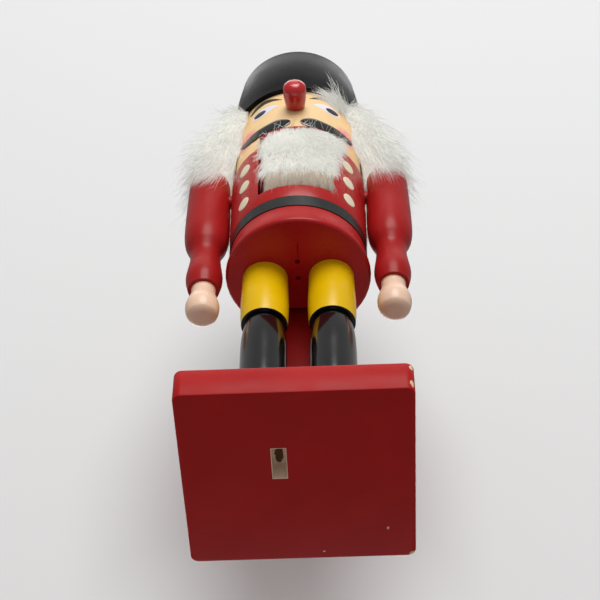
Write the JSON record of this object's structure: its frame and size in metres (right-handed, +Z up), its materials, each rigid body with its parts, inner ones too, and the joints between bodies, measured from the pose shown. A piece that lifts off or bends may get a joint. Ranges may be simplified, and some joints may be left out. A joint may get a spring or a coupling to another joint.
{
  "type": "wooden nutcracker figure",
  "caption": "Turned and painted wooden soldier nutcracker on a square base, with a lever at the back that opens its fur-bearded lower jaw.",
  "frame": {"origin": "middle of the base's flat underside", "axes": "+Z up through the hat, the figure faces -Y, its left arm as seen from the front is at -X"},
  "size_m": [0.0952, 0.083, 0.25],
  "materials": {
    "red_paint": "red paint under clear satin lacquer",
    "black_paint": "glossy black paint",
    "yellow_paint": "glossy yellow paint",
    "skin_paint": "satin cream paint",
    "bare_wood": "bare wood",
    "black_belt": "smooth black strip",
    "white_fur": "long white fur"
  },
  "bodies": {
    "figure": {"base": "red_paint", "torso": "red_paint", "belt": "black_belt", "head": "skin_paint", "nose": "red_paint", "hat": "black_paint", "hinge_pin": "bare_wood", "hair": "white_fur", "left_boot": "black_paint", "right_boot": "black_paint", "left_boot_toe": "black_paint", "right_boot_toe": "black_paint", "left_trouser_leg": "yellow_paint", "right_trouser_leg": "yellow_paint", "left_arm": "red_paint", "right_arm": "red_paint", "left_hand": "skin_paint", "right_hand": "skin_paint", "left_base_dowel": "bare_wood", "right_base_dowel": "bare_wood", "left_hip_dowel": "bare_wood", "right_hip_dowel": "bare_wood", "left_neck_dowel": "bare_wood", "right_neck_dowel": "bare_wood", "left_shoulder_dowel": "bare_wood", "right_shoulder_dowel": "bare_wood", "hat_dowel": "bare_wood"},
    "jaw": {"jaw_lever": "red_paint", "beard": "white_fur"}
  },
  "joints": [
    {"name": "jaw_hinge", "type": "hinge", "parent": "figure", "child": "jaw", "pos_m": [0, 0, 0.1575], "axis": [1, 0, 0], "range_deg": [0, 24]}
  ]
}
